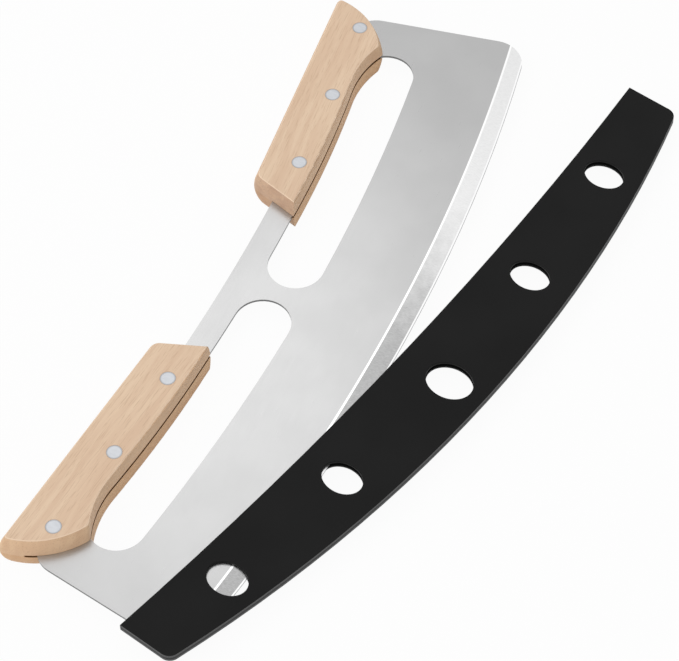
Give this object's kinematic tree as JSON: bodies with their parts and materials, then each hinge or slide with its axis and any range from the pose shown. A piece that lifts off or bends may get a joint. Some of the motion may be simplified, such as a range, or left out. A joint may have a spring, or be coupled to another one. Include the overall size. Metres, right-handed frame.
{
  "type": "rocking pizza knife",
  "caption": "Long curved two-handed rocking knife for cutting pizza, with a wooden handle over each end of its spine and a holed black plastic cover for its edge.",
  "frame": {"origin": "on the steel's front face, in the middle of the neck between the finger slots, on the line through the two inner rivets", "axes": "+X along the blade's length, +Y from the cutting edge towards the spine, +Z out of the front face"},
  "size_m": [0.3601, 0.1712, 0.0175],
  "materials": {
    "steel": "satin",
    "wood": "oiled",
    "rivet_metal": "satin",
    "cover_plastic": "matte"
  },
  "bodies": {
    "knife": {"blade": "steel", "left_handle": "wood", "right_handle": "wood", "left_inner_rivet_socket": "rivet_metal", "left_inner_rivet_pin": "rivet_metal", "left_middle_rivet_socket": "rivet_metal", "left_middle_rivet_pin": "rivet_metal", "left_outer_rivet_socket": "rivet_metal", "left_outer_rivet_pin": "rivet_metal", "right_inner_rivet_socket": "rivet_metal", "right_inner_rivet_pin": "rivet_metal", "right_middle_rivet_socket": "rivet_metal", "right_middle_rivet_pin": "rivet_metal", "right_outer_rivet_socket": "rivet_metal", "right_outer_rivet_pin": "rivet_metal"},
    "cover": {"cover_front": "cover_plastic", "cover_back": "cover_plastic", "cover_rim": "cover_plastic"}
  },
  "joints": [
    {"name": "cover_swing", "type": "hinge", "parent": "knife", "child": "cover", "pos_m": [-0.1336, -0.0509, -0.0006], "axis": [0, 0, 1], "range_deg": [0, 13.25]}
  ]
}
